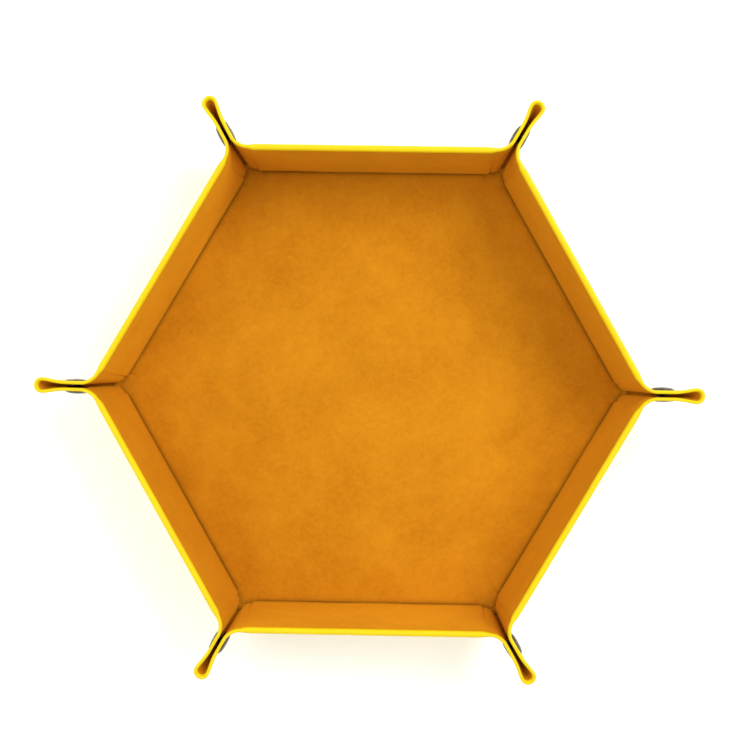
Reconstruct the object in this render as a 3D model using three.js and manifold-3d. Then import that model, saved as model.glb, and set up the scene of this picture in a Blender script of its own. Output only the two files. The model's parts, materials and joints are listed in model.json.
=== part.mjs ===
// Folding dice tray: a hexagonal tray whose six walls fold up from a flat floor and are held by a
// pinched, snapped ear at every corner.  Millimetres, +Z up, underside of the floor on z = 0.
// The model is drawn as used: walls up, all six snaps closed.
//
// Skin: thin leather cover outside, stiff board inside the floor and the walls, velvet lining.
// Between two walls there is no board, only cover and lining bonded together: a kite of soft
// laminate that folds out along its middle into an ear.
import * as THREE from 'three';
import { mergeVertices } from 'three/addons/utils/BufferGeometryUtils.js';
import Module from 'manifold-3d';

const wasm = await Module();
wasm.setup();

const RAD = Math.PI / 180;
const WELD = 1e-5;

// ---- driving dimensions ------------------------------------------------------------------------
const CORNERS = 6;
const RIM_APOTHEM = 87.5;        // centre to the outside of a wall, at the rim
const WALL_HEIGHT = 40.3;        // fold line to rim, measured up the wall
const WALL_ANGLE = 83.5 * RAD;   // wall from flat; the walls lean outward by the rest

const COVER = 0.7;               // leather
const BOARD = 0.95;              // greyboard
const LINING = 0.65;             // velvet
const GLUE = 0.05;               // glue line on either side of the board
const THICK = COVER + BOARD + LINING + 2 * GLUE;
const LAMINATE = 1.3;            // cover and lining bonded together, no board

const FOLD_MARGIN = 1.6;         // floor and wall both stop this far from the fold line
const FLOOR_CORNER_R = 6;
const HEM = 2.3;                 // how far the cover is turned over the rim onto the inside
const HEM_GAP = 0.15;
const BOARD_LENGTH = 87;
const BOARD_CORNER_R = 3;
const BOARD_INSET = 0.5;

// ear cross-section: offset of the laminate's middle from the ear's own middle plane
const EAR_NECK = 1.15;           // at the snap, where the two halves are drawn together
const EAR_ROOT = 1.8;            // at the bend next to the wall
const EAR_LOOP = 2.25;           // at the open loop of the ear, at the rim
const EAR_APEX = 1.3;            // inset of the folded edge from the unfolded middle line
const EAR_BOTTOM = 5;            // ear starts this far up its middle line
const EAR_ROUNDING = 7;          // radius of the ear's top corner
const HALF_GAP = 0.22;           // each half stays this far from the ear's middle plane
const LOOP_START = 36;           // the loop opens between these distances up the middle line
const LOOP_FULL = 45.5;
const NECK_INWARD = 11;          // the loop has closed to the neck this far in from the middle line
const ROOT_SHARE = 0.76;         // the neck widens to the root over the rest of the way to the bend
const CREASE_CLEAR_COVER = 0.5;  // room on either side of the crease, on the leather face
const CREASE_CLEAR_LINING = 0.12; // and on the velvet face
const WALL_CLEAR = 1.0;          // wall skin stops short of the ear's bend line
const PANEL_CLEAR = 0.6;         // ear panel starts beyond the ear's bend line

const SNAP_UP = 31.6;            // snap centre: up the ear's middle line ...
const SNAP_IN = 9.2;             // ... and in from it
const SNAP_HOLE_R = 2.4;
const CAP_R = 4.6;
const FLANGE_R = 4.3;
const SNAP_SEGMENTS = 16;

// ---- derived -----------------------------------------------------------------------------------
const HINGE_Z = THICK / 2;
const HALF_TURN = Math.PI / CORNERS;
const FOLD_APOTHEM = RIM_APOTHEM - HINGE_Z * Math.sin(WALL_ANGLE) - WALL_HEIGHT * Math.cos(WALL_ANGLE);
const CORNER_RADIUS = FOLD_APOTHEM / Math.cos(HALF_TURN);
const SIDE = 2 * FOLD_APOTHEM * Math.tan(HALF_TURN);
const HALF_LAMINATE = LAMINATE / 2;

// The ear's bend line: where the middle of the wall meets the plane EAR_ROOT beside the ear's middle.
const wallInner = new THREE.Vector3(
  -Math.sin(WALL_ANGLE) * Math.cos(HALF_TURN),
  -Math.sin(WALL_ANGLE) * Math.sin(HALF_TURN),
  Math.cos(WALL_ANGLE),
);
const bendDirection = new THREE.Vector3().crossVectors(wallInner, new THREE.Vector3(0, 1, 0)).normalize();
if (bendDirection.z < 0) bendDirection.negate();
const alongWall = new THREE.Vector3(Math.sin(HALF_TURN), -Math.cos(HALF_TURN), 0);
const BEND_RAY = Math.asin(bendDirection.dot(alongWall));
const EAR_TILT = Math.atan2(bendDirection.x, bendDirection.z) + HALF_TURN - BEND_RAY;
const EAR_ANGLE = HALF_TURN - BEND_RAY;

// ---- materials ---------------------------------------------------------------------------------
const coverMaterial = new THREE.MeshStandardMaterial({ color: 0xf3c01c, roughness: 0.45, metalness: 0 });
const liningMaterial = new THREE.MeshStandardMaterial({ color: 0xc9801c, roughness: 0.95, metalness: 0 });
const boardMaterial = new THREE.MeshStandardMaterial({ color: 0x8f887c, roughness: 0.9, metalness: 0 });
const snapMaterial = new THREE.MeshStandardMaterial({ color: 0x3b3835, roughness: 0.3, metalness: 0.95 });

// ---- helpers -----------------------------------------------------------------------------------
const root = new THREE.Group();
root.name = 'folding_dice_tray';

function smooth(start, end, value) {
  const x = Math.min(Math.max((value - start) / (end - start), 0), 1);
  return x * x * (3 - 2 * x);
}

function mergeIndexed(geometry) {
  const plain = geometry.clone();
  plain.deleteAttribute('normal');
  plain.deleteAttribute('uv');
  return mergeVertices(plain, WELD);
}

function toManifold(geometry) {
  const merged = mergeIndexed(geometry);
  return new wasm.Manifold(new wasm.Mesh({
    numProp: 3,
    vertProperties: new Float32Array(merged.attributes.position.array),
    triVerts: new Uint32Array(merged.index.array),
  }));
}

function fromManifold(solid) {
  const mesh = solid.getMesh();
  const geometry = new THREE.BufferGeometry();
  geometry.setAttribute('position', new THREE.BufferAttribute(new Float32Array(mesh.vertProperties), 3));
  geometry.setIndex(new THREE.BufferAttribute(new Uint32Array(mesh.triVerts), 1));
  return geometry;
}

function volume(geometry) {
  const position = geometry.attributes.position;
  const index = geometry.index;
  const corner = [new THREE.Vector3(), new THREE.Vector3(), new THREE.Vector3()];
  let sum = 0;
  for (let i = 0; i < index.count; i += 3) {
    corner.forEach((point, j) => point.fromBufferAttribute(position, index.getX(i + j)));
    sum += corner[0].dot(corner[1].clone().cross(corner[2]));
  }
  return sum / 6;
}

function facingOut(geometry) {
  if (volume(geometry) < 0) {
    const index = geometry.index.array;
    for (let i = 0; i < index.length; i += 3) {
      [index[i], index[i + 1]] = [index[i + 1], index[i]];
    }
  }
  return geometry;
}

function add(name, geometry, material, frame) {
  const placed = mergeIndexed(geometry);
  placed.applyMatrix4(frame);
  facingOut(placed);
  const flat = placed.toNonIndexed();
  flat.computeVertexNormals();
  const mesh = new THREE.Mesh(flat, material);
  mesh.name = name;
  root.add(mesh);
}

// Closed sheet between two surfaces given on the same grid.
function sheetBetween(outer, inner, rows, columns) {
  const points = [];
  const faces = [];
  const id = (side, i, j) => side * (rows + 1) * (columns + 1) + i * (columns + 1) + j;
  for (const surface of [outer, inner]) {
    for (let i = 0; i <= rows; i += 1) {
      for (let j = 0; j <= columns; j += 1) {
        points.push(...surface(i / rows, j / columns));
      }
    }
  }
  const quad = (a, b, c, d) => faces.push(a, b, c, a, c, d);
  for (let i = 0; i < rows; i += 1) {
    for (let j = 0; j < columns; j += 1) {
      quad(id(0, i, j), id(0, i + 1, j), id(0, i + 1, j + 1), id(0, i, j + 1));
      quad(id(1, i, j), id(1, i, j + 1), id(1, i + 1, j + 1), id(1, i + 1, j));
    }
  }
  for (let j = 0; j < columns; j += 1) {
    quad(id(0, 0, j), id(0, 0, j + 1), id(1, 0, j + 1), id(1, 0, j));
    quad(id(0, rows, j + 1), id(0, rows, j), id(1, rows, j), id(1, rows, j + 1));
  }
  for (let i = 0; i < rows; i += 1) {
    quad(id(0, i + 1, 0), id(0, i, 0), id(1, i, 0), id(1, i + 1, 0));
    quad(id(0, i, columns), id(0, i + 1, columns), id(1, i + 1, columns), id(1, i, columns));
  }
  const geometry = new THREE.BufferGeometry();
  geometry.setAttribute('position', new THREE.Float32BufferAttribute(points, 3));
  geometry.setIndex(faces);
  return facingOut(geometry);
}

function roundedPolygon(corners, radius) {
  const shape = new THREE.Shape();
  corners.forEach((corner, i) => {
    const before = corners[(i + corners.length - 1) % corners.length];
    const after = corners[(i + 1) % corners.length];
    const back = before.clone().sub(corner).normalize();
    const forward = after.clone().sub(corner).normalize();
    const half = Math.acos(back.dot(forward)) / 2;
    const start = corner.clone().addScaledVector(back, radius / Math.tan(half));
    const end = corner.clone().addScaledVector(forward, radius / Math.tan(half));
    if (i === 0) shape.moveTo(start.x, start.y);
    else shape.lineTo(start.x, start.y);
    shape.quadraticCurveTo(corner.x, corner.y, end.x, end.y);
  });
  shape.closePath();
  return shape;
}

function slab(shape, from, to) {
  const options = { depth: to - from, bevelEnabled: false, curveSegments: 6 };
  const geometry = new THREE.ExtrudeGeometry(shape, options);
  geometry.translate(0, 0, from);
  return geometry;
}

// ---- frames ------------------------------------------------------------------------------------
// Wall k: x along the wall (towards corner k), y up the wall from the fold line, z inward.
function wallFrame(k) {
  const angle = (2 * k + 1) * HALF_TURN;
  const out = new THREE.Vector3(Math.cos(angle), Math.sin(angle), 0);
  const up = new THREE.Vector3(0, 0, 1);
  const x = new THREE.Vector3(Math.sin(angle), -Math.cos(angle), 0);
  const y = out.clone().multiplyScalar(Math.cos(WALL_ANGLE)).addScaledVector(up, Math.sin(WALL_ANGLE));
  const z = out.clone().multiplyScalar(-Math.sin(WALL_ANGLE)).addScaledVector(up, Math.cos(WALL_ANGLE));
  const frame = new THREE.Matrix4().makeBasis(x, y, z);
  return frame.setPosition(out.multiplyScalar(FOLD_APOTHEM).setZ(HINGE_Z));
}

// Corner k: x outward along the ear, y across the ear towards wall k, z up.
// A mirrored frame serves the half of the ear that belongs to the wall before.
function cornerFrame(k, side) {
  const angle = 2 * k * HALF_TURN;
  const x = new THREE.Vector3(Math.cos(angle), Math.sin(angle), 0);
  const y = new THREE.Vector3(-Math.sin(angle), Math.cos(angle), 0).multiplyScalar(side);
  const frame = new THREE.Matrix4().makeBasis(x, y, new THREE.Vector3(0, 0, 1));
  return frame.setPosition(x.multiplyScalar(CORNER_RADIUS).setZ(HINGE_Z));
}

// Ear coordinates: `up` along the folded edge from the floor corner, `inward` from the unfolded
// middle line towards the wall, `across` away from the ear's middle plane.
const ROOT_STEP = EAR_ROOT * Math.tan(HALF_TURN);
const EAR_ORIGIN_X = -ROOT_STEP * (1 - Math.sin(EAR_TILT)) + EAR_ROOT * Math.cos(EAR_TILT);
const EAR_ORIGIN_Z = ROOT_STEP * Math.cos(EAR_TILT) - EAR_ROOT * Math.sin(EAR_TILT);

function earPoint(up, inward, across) {
  const x = EAR_ORIGIN_X + up * Math.sin(EAR_TILT) - inward * Math.cos(EAR_TILT);
  const z = EAR_ORIGIN_Z + up * Math.cos(EAR_TILT) + inward * Math.sin(EAR_TILT);
  return [x, across, z];
}

function bendInward(up) {
  return EAR_ROOT + (up + ROOT_STEP) * Math.tan(EAR_ANGLE);
}

function earTop(inward) {
  const corner = WALL_HEIGHT / Math.cos(HALF_TURN);
  const fromEdge = Math.max(inward - EAR_APEX, 0) * (1 + EAR_APEX / 20);
  const straight = corner - inward * Math.tan(HALF_TURN);
  if (fromEdge > EAR_ROUNDING * Math.sin(HALF_TURN)) return straight;
  const centre = corner - EAR_ROUNDING / Math.cos(HALF_TURN);
  const round = centre + Math.sqrt(EAR_ROUNDING ** 2 - fromEdge ** 2);
  return Math.min(round, straight);
}

function loopRadius(up) {
  return EAR_NECK + (EAR_LOOP - EAR_NECK) * smooth(LOOP_START, LOOP_FULL, up);
}

// Offset of the laminate's middle beyond the quarter-round of the loop.
function panelAcross(up, inward) {
  const loop = (loopRadius(up) - EAR_NECK) * (1 - smooth(EAR_APEX + EAR_LOOP, NECK_INWARD, inward));
  const end = bendInward(up);
  const root = (EAR_ROOT - EAR_NECK) * smooth(EAR_APEX + ROOT_SHARE * (end - EAR_APEX), end, inward);
  return EAR_NECK + loop + root;
}

// Quarter-round of the loop: `turn` is 0 on the ear's middle plane and 90 degrees on the panel.
function loopPoint(up, turn, offset) {
  const radius = loopRadius(up);
  const inward = EAR_APEX + radius - (radius + offset) * Math.cos(turn);
  return [inward, (radius + offset) * Math.sin(turn)];
}

// The loop is parted along the crease that opens when the tray is laid flat.
const CREASE = (EAR_APEX + EAR_ROOT) / 2;

function creaseTurn(up) {
  return Math.atan2(CREASE, EAR_APEX + loopRadius(up) - CREASE);
}

function creaseClear(offset) {
  return offset > 0 ? CREASE_CLEAR_COVER : CREASE_CLEAR_LINING;
}

// ---- floor -------------------------------------------------------------------------------------
function hexagon(apothem, cornerRadius) {
  const corners = [];
  const radius = apothem / Math.cos(HALF_TURN);
  for (let k = 0; k < CORNERS; k += 1) {
    const angle = 2 * k * HALF_TURN;
    corners.push(new THREE.Vector2(radius * Math.cos(angle), radius * Math.sin(angle)));
  }
  return roundedPolygon(corners, cornerRadius);
}

const still = new THREE.Matrix4();
const floorApothem = FOLD_APOTHEM - FOLD_MARGIN;
const boardBottom = COVER + GLUE;
const boardTop = boardBottom + BOARD;
const floorSkin = hexagon(floorApothem, FLOOR_CORNER_R);
const floorBoard = hexagon(floorApothem - BOARD_INSET, FLOOR_CORNER_R);
add('cover_base', slab(floorSkin, 0, COVER), coverMaterial, still);
add('board_base', slab(floorBoard, boardBottom, boardTop), boardMaterial, still);
add('lining_base', slab(floorSkin, boardTop + GLUE, THICK), liningMaterial, still);

// ---- walls -------------------------------------------------------------------------------------
function wallEnd(height) {
  const bend = SIDE / 2 - EAR_ROOT / Math.cos(HALF_TURN) + height * Math.tan(BEND_RAY);
  return bend - WALL_CLEAR / Math.cos(BEND_RAY);
}

function wallOutline(top) {
  return [
    new THREE.Vector2(-wallEnd(FOLD_MARGIN), FOLD_MARGIN),
    new THREE.Vector2(wallEnd(FOLD_MARGIN), FOLD_MARGIN),
    new THREE.Vector2(wallEnd(top), top),
    new THREE.Vector2(-wallEnd(top), top),
  ];
}

// Cover: one sheet up the outside, over the rim and a hem's width down the inside.
function wallCover() {
  const outside = -THICK / 2;
  const rimCentre = WALL_HEIGHT - THICK / 2;
  const hemEnd = WALL_HEIGHT - HEM;
  const hook = new THREE.Shape();
  hook.moveTo(outside, FOLD_MARGIN - 1);
  hook.lineTo(outside + COVER, FOLD_MARGIN - 1);
  hook.lineTo(outside + COVER, rimCentre);
  hook.absarc(0, rimCentre, THICK / 2 - COVER, Math.PI, 0, true);
  hook.lineTo(-outside - COVER, hemEnd);
  hook.lineTo(-outside, hemEnd);
  hook.lineTo(-outside, rimCentre);
  hook.absarc(0, rimCentre, THICK / 2, 0, Math.PI, false);
  hook.closePath();
  const strip = new THREE.ExtrudeGeometry(hook, { depth: 2 * SIDE, bevelEnabled: false, curveSegments: 8 });
  // extrusion direction -> x, hook x -> z (inward), hook y stays up the wall
  strip.translate(0, 0, -SIDE);
  strip.rotateY(-Math.PI / 2);
  strip.scale(-1, 1, 1);
  const outline = new THREE.Shape(wallOutline(WALL_HEIGHT + 1));
  const cutter = slab(outline, -10, 10);
  return fromManifold(toManifold(facingOut(mergeIndexed(strip))).intersect(toManifold(cutter)));
}

function wallBoard() {
  const low = FOLD_MARGIN + BOARD_INSET;
  const high = WALL_HEIGHT - THICK / 2 - GLUE;
  const half = BOARD_LENGTH / 2;
  const corners = [
    new THREE.Vector2(-half, low),
    new THREE.Vector2(half, low),
    new THREE.Vector2(half, high),
    new THREE.Vector2(-half, high),
  ];
  return slab(roundedPolygon(corners, BOARD_CORNER_R), boardBottom - HINGE_Z, boardTop - HINGE_Z);
}

function wallLining() {
  const outline = new THREE.Shape(wallOutline(WALL_HEIGHT - HEM - HEM_GAP));
  return slab(outline, boardTop + GLUE - HINGE_Z, THICK - HINGE_Z);
}

for (let k = 0; k < CORNERS; k += 1) {
  add(`cover_wall_${k + 1}`, wallCover(), coverMaterial, wallFrame(k));
  add(`board_wall_${k + 1}`, wallBoard(), boardMaterial, wallFrame(k));
  add(`lining_wall_${k + 1}`, wallLining(), liningMaterial, wallFrame(k));
}

// ---- ears --------------------------------------------------------------------------------------
const ROWS = 9;
const LOOP_COLUMNS = 2;
const PANEL_COLUMNS = 7;

// One half of an ear beside the crease: part of the loop, the snapped neck and the run to the wall.
function earPanel() {
  const columns = LOOP_COLUMNS + PANEL_COLUMNS;
  const surface = (offset) => (row, column) => {
    const step = column * columns;
    const guessUp = EAR_BOTTOM + row * (earTop(EAR_APEX + EAR_LOOP) - EAR_BOTTOM);
    if (step < LOOP_COLUMNS) {
      const start = creaseTurn(guessUp) + creaseClear(offset) / (loopRadius(guessUp) + offset);
      const turn = start + (Math.PI / 2 - start) * (step / LOOP_COLUMNS);
      const [inward, across] = loopPoint(guessUp, Math.min(turn, Math.PI / 2), offset);
      const up = EAR_BOTTOM + row * (earTop(inward) - EAR_BOTTOM);
      return earPoint(up, inward, across);
    }
    const share = (step - LOOP_COLUMNS) / PANEL_COLUMNS;
    const startInward = EAR_APEX + loopRadius(guessUp);
    const reach = (1 - share) * startInward + share * bendInward(guessUp);
    let up = EAR_BOTTOM + row * (earTop(reach) - EAR_BOTTOM);
    const end = bendInward(up) - PANEL_CLEAR / Math.cos(EAR_ANGLE);
    const inward = startInward + share * (end - startInward);
    up = EAR_BOTTOM + row * (earTop(inward) - EAR_BOTTOM);
    return earPoint(up, inward, panelAcross(up, inward) + offset);
  };
  const sheet = sheetBetween(surface(HALF_LAMINATE), surface(-HALF_LAMINATE), ROWS, columns);
  const hole = new THREE.CylinderGeometry(SNAP_HOLE_R, SNAP_HOLE_R, 12, SNAP_SEGMENTS);
  hole.translate(...earPoint(SNAP_UP, SNAP_IN, EAR_NECK));
  return fromManifold(toManifold(sheet).subtract(toManifold(hole)));
}

// The strip between the crease and the ear's middle plane: it closes the loop.
function earEdge() {
  const surface = (offset) => (row, column) => {
    const guessUp = EAR_BOTTOM + row * (earTop(EAR_APEX) - EAR_BOTTOM);
    const radius = loopRadius(guessUp) + offset;
    const start = Math.asin(HALF_GAP / radius);
    const end = creaseTurn(guessUp) - creaseClear(offset) / radius;
    const [inward, across] = loopPoint(guessUp, start + column * (end - start), offset);
    const up = EAR_BOTTOM + row * (earTop(inward) - EAR_BOTTOM);
    return earPoint(up, inward, across);
  };
  return sheetBetween(surface(HALF_LAMINATE), surface(-HALF_LAMINATE), ROWS, 2);
}

// ---- snaps -------------------------------------------------------------------------------------
// Turned profiles: radius and distance from the ear's middle plane; the cover is at `skin`.
const skin = EAR_NECK + HALF_LAMINATE + GLUE;
const plate = EAR_NECK - HALF_LAMINATE - GLUE;
const face = 0.16;

const capProfile = [
  [0, skin + 1.05],
  [0.45 * CAP_R, skin + 0.98],
  [0.75 * CAP_R, skin + 0.75],
  [0.95 * CAP_R, skin + 0.38],
  [CAP_R, skin + 0.14],
  [CAP_R - 0.12, skin],
  [2.1, skin],
  [2.1, plate],
  [4.1, plate],
  [4.1, face],
  [1.65, face],
  [1.65, 1.3],
  [0, 1.3],
];

const studProfile = [
  [0, skin + 0.62],
  [0.6 * FLANGE_R, skin + 0.58],
  [0.92 * FLANGE_R, skin + 0.36],
  [FLANGE_R, skin + 0.14],
  [FLANGE_R - 0.12, skin],
  [1.9, skin],
  [1.9, plate],
  [3.9, plate],
  [3.9, face],
  [1.15, face],
  [1.3, -0.45],
  [1.15, -0.85],
  [0, -1],
];

function snap(profile) {
  const points = profile.map(([radius, across]) => new THREE.Vector2(radius, across)).reverse();
  const geometry = new THREE.LatheGeometry(points, SNAP_SEGMENTS);
  geometry.translate(...earPoint(SNAP_UP, SNAP_IN, 0));
  return facingOut(mergeIndexed(geometry));
}

for (let k = 0; k < CORNERS; k += 1) {
  const ear = k + 1;
  for (const [side, label] of [[1, 'a'], [-1, 'b']]) {
    add(`ear_${ear}${label}_panel`, earPanel(), coverMaterial, cornerFrame(k, side));
    add(`ear_${ear}${label}_edge`, earEdge(), coverMaterial, cornerFrame(k, side));
  }
  add(`snap_${ear}_cap`, snap(capProfile), snapMaterial, cornerFrame(k, 1));
  add(`snap_${ear}_stud`, snap(studProfile), snapMaterial, cornerFrame(k, -1));
}

export default root;
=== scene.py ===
"""Looks of the folding dice tray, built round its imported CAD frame.

The cover, the lining and the ears are made as one folded laminate.  A point of it is named by flat
coordinates: t along the wall from a floor corner (positive into the ear), u up the wall from the
fold line, v through the thickness (negative to the leather side, positive to the velvet side).
Corner.point() says where that point is when the tray is set up.  Every skin piece is a patch of it.
"""
import json
import math

import bpy
import numpy as np
from mathutils import Matrix, Vector


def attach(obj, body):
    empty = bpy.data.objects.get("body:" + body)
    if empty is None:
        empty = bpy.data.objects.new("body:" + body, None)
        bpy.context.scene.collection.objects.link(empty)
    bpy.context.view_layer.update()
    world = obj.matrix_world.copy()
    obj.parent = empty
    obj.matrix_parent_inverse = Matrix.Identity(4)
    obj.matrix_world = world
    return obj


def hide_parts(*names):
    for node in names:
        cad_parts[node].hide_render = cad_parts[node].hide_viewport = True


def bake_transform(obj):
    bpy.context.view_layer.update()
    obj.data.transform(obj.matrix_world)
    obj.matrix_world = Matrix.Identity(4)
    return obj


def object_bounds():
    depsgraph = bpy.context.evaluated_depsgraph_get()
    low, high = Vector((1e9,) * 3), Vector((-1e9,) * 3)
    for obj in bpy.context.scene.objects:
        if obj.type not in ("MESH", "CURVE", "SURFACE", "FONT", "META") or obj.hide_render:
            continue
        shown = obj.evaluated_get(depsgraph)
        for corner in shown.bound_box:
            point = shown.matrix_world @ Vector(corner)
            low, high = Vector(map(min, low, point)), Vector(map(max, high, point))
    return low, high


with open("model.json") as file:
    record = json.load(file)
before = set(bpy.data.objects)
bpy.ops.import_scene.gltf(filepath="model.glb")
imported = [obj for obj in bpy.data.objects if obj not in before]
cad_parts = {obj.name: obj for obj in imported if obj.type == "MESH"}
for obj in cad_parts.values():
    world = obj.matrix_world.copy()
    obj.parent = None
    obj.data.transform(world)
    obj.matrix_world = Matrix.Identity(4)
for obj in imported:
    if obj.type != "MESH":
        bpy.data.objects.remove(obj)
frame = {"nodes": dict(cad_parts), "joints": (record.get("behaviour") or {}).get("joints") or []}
CAD_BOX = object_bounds()

MM = 0.001
CORNERS = 6
HALF_TURN = math.pi / CORNERS
JOINTS = {joint["name"]: joint for joint in frame["joints"]}

# ---- sizes taken from the frame ----------------------------------------------------------------
FOLD_POINT = Vector(JOINTS["fold_wall_1"]["pos_m"])
FOLD_APOTHEM = math.hypot(FOLD_POINT.x, FOLD_POINT.y)
HINGE_Z = FOLD_POINT.z
WALL_ANGLE = math.radians(JOINTS["fold_wall_1"]["range_deg"][1])
CORNER_RADIUS = FOLD_APOTHEM / math.cos(HALF_TURN)
HALF_SIDE = FOLD_APOTHEM * math.tan(HALF_TURN)
RIM_Z = CAD_BOX[1].z

# ---- the design's own dimensions ---------------------------------------------------------------
WALL_HEIGHT = 40.3 * MM
EAR_NECK = 1.15 * MM             # an ear's half width where it is narrowest ...
EAR_ROOT = 1.8 * MM              # ... at its root, beside the walls ...
EAR_LOOP = 2.25 * MM             # ... and in the loop along its folded edge
EAR_APEX = 1.3 * MM              # the loop's fold lies this far in from the ear's edge line
EAR_ROUNDING = 7 * MM            # radius of the ear's tip
LOOP_START, LOOP_FULL = 36 * MM, 45.5 * MM      # the loop widens between these heights
NECK_INWARD = 11 * MM            # the loop has narrowed to the neck this far in from the edge
ROOT_SHARE = 0.76                # the root starts to widen this share of the way in to the bend
BEND_REACH = (1.2 * MM, 2.6 * MM)       # half width of an ear's bend at its foot, and its gain by the rim
LEAN_OVER = (2 * MM, 21 * MM)    # an ear's lean grows between these distances past its bend
EAR_LEAN = [0.0 * MM, 0.15 * MM, -0.3 * MM, -0.25 * MM, 0.3 * MM, 0.15 * MM]   # ears 1 to 6, at the tip
SNAP_UP, SNAP_IN = 31.6 * MM, 9.2 * MM          # up the ear, and in from its edge line
SNAP_SINK = 0.1 * MM             # a snap's outer shell is pressed this far into the leather

# ---- skins -------------------------------------------------------------------------------------
BOARD_END = -3.7 * MM            # where the wall board ends, from the floor corner
LEATHER_FADE = 3.0 * MM          # the outside eases down past the board's end ...
VELVET_FADE = 1.5 * MM           # ... and the inside steps down more sharply
LEATHER_FACE = (1.2 * MM, 0.68 * MM)    # leather face from the laminate's middle: wall, ear
VELVET_FACE = (1.0 * MM, 0.48 * MM)     # velvet face: wall, ear
LEATHER_THICK = 0.6 * MM
VELVET_THICK = 0.46 * MM
HEM = 1.6 * MM                   # leather turned down inside the rim
HEM_GAP = 0.12 * MM              # from the hem's end to the lining's
HEM_LIFT = 0.04 * MM             # the hem lies this much above the lining's face
NAP_DIP = (0.12 * MM, 0.35 * MM)        # the hem presses the nap in: how deep, and how soon it recovers
FOLD_REACH = 1.1 * MM            # the floor fold bends over this far either side of the fold line
FLOOR_EDGE = 3.2 * MM            # the floor pieces end this far inside the fold line
SEAM_CLEAR = 0.8 * MM            # wall pieces end this far before the ear's bend starts
EAR_FOOT = {"leather": 0.1 * MM, "velvet": 0.4 * MM}    # its skins start this far up from the corner
CREASE_DEPTH = 0.42 * MM         # the velvet is pressed in between floor board and wall board
CREASE_WIDTH = 0.42 * MM
CREASE_SPREAD = 1.5 * MM         # painted shade darkens the lining this far round the crease, where its nap also lies flat
CREASE_FADE = 5.0 * MM           # the crease's painted shade is weaker within this distance of a floor corner ... ... by this share
CREASE_SOFTER = 0.55             # ... by this share
PINCH_SPREAD = 8.0 * MM          # painted shade darkens the lining this far up each ear's root, where it is pinched
PINCH_START = (-0.2 * MM, 2.0 * MM)     # from the floor corner outward
# A tongue of each floor skin closes the foot of the ear. It is given by how far it reaches past the
# floor corner, how far it rises, and the radius of its tip.
TONGUE = {"leather": (0.0 * MM, 0.9 * MM, 1.6 * MM), "velvet": (0.5 * MM, 0.7 * MM, 3.0 * MM)}
TONGUE_UNDER = 0.7 * MM          # its sides run this far in below the walls' skins ...
TONGUE_DROP = 0.4 * MM           # ... where the lining's tongue is lowered by this much
TONGUE_RISE = 3.2 * MM           # it curls up over this length
RISE_OVER = (-0.5 * MM, 0.3 * MM)       # its rise sets in between these distances past the hexagon
DROP_OVER = (0.1 * MM, 0.5 * MM)        # and its drop between these
DROP_SHARE = 0.93                # the drop starts at this share of the seam's angle from the corner
EDGE_WIDTH = 3.7 * MM            # the ear's edge skin, from its folded edge to the panel skin ...
BORDER_SHARE = 0.46              # ... and no more than this share of the way from crease to bend
# The leather's edge skin is wider than the lining's, so that no slit goes right through the ear.
STAGGER = {"leather": 0.6 * MM, "velvet": 0.0}
LINING_LIP = 0.95 * MM           # the lining's tongue is turned down by this much at its outline
LIP_WIDTH = 0.6 * MM
RIM_PAINTED_LIGHT = (4.0 * MM, 1.5 * MM)  # painted light: the leather is painted paler on the rim than down the walls, from the first distance below the rim and in full from the second
                                 # first distance below it and in full from the second

# Widths either side of a joint's axis over which a skin would bend; nothing here bends the skins.
FOLD_BLEND, BEND_BLEND, CREASE_BLEND = 1.7 * MM, 1.5 * MM, 1.1 * MM

# ---- how fine the meshes are -------------------------------------------------------------------
WALL_ROWS = {"leather": 40, "velvet": 62}       # the leather's rim and hem have their own rows
EAR_ROWS = {"leather": 34, "velvet": 40}
RIM_ROWS, HEM_ROWS = 12, 4
FOLD_ROWS, FOLD_ROWS_FROM = 26, 2.2 * MM        # the lining's rows from just above the floor fold
ROW_CROWDING = 1.25              # the leather's rows are closer together towards the rim
HALF_WALL_COLUMNS, PANEL_COLUMNS, EDGE_COLUMNS = 46, 30, 12
TONGUE_RAYS, EDGE_RAYS = 15, 46  # rays of a floor skin across a tongue, and between two tongues
NEXT_RAY, FAR_RAY = 1.003, 1.15  # the next rays beside a tongue, as a multiple of its half angle
RAY_LIMIT = 1.001                # a ray within this multiple is on the tongue
INNER_RINGS = np.linspace(0.015, 0.94, 62)      # rings of a floor skin, as shares of its outline
OUTER_RINGS = np.linspace(0.946, 1, 14)
TURNED_SEGMENTS = 56
AXIS_RADIUS = 0.004              # mm: a turned piece's first and last rings are no smaller than this
SKIN_SHARP, METAL_SHARP = 50, 38        # degrees: sharper edges are shaded as edges
NORMAL_STEP = 0.02 * MM

# ---- unevenness --------------------------------------------------------------------------------
WAVE_SPREAD = (0.6, 1.7)         # a field's shortest and longest wave, as shares of its length
WAVE_GAIN = 1.6                  # makes up for waves that cancel each other
OUTSIDE_WAVES = 0.5              # the leather is half as uneven as its fields say
PUCKER_COUNT = 7                 # radial creases round a floor corner, which fade over the spread
PUCKER_SPREAD = 6.5 * MM
PUCKER_TWIST = 4.0 / MM          # radians of their wave by which they shift, per height
PUCKER_HEIGHT = 0.10 * MM

# ---- studio ------------------------------------------------------------------------------------
FLOOR_GLOW = 0.27
GROUND_SIZE = 12.0
WORLD_LIGHT = 0.62
LIGHTS = (                       # name, place, size, power
    ("key", (0.8, 0.6, 1.15), 0.8, 13.6),
    ("fill", (-0.95, 0.1, 0.95), 1.2, 6.5),
)
CAMERA_ABOVE_RIM = 0.70
CAMERA_ROLL = math.radians(0.9)
CAMERA_PLACE = (15.15 * MM, 18.7 * MM)  # right and up, as the picture shows them, of the tray's centre
CAMERA_AIM = (2.35 * MM, 5.73 * MM)
CAMERA_LENS, CAMERA_SENSOR = 94.45, 36  # mm


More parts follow.
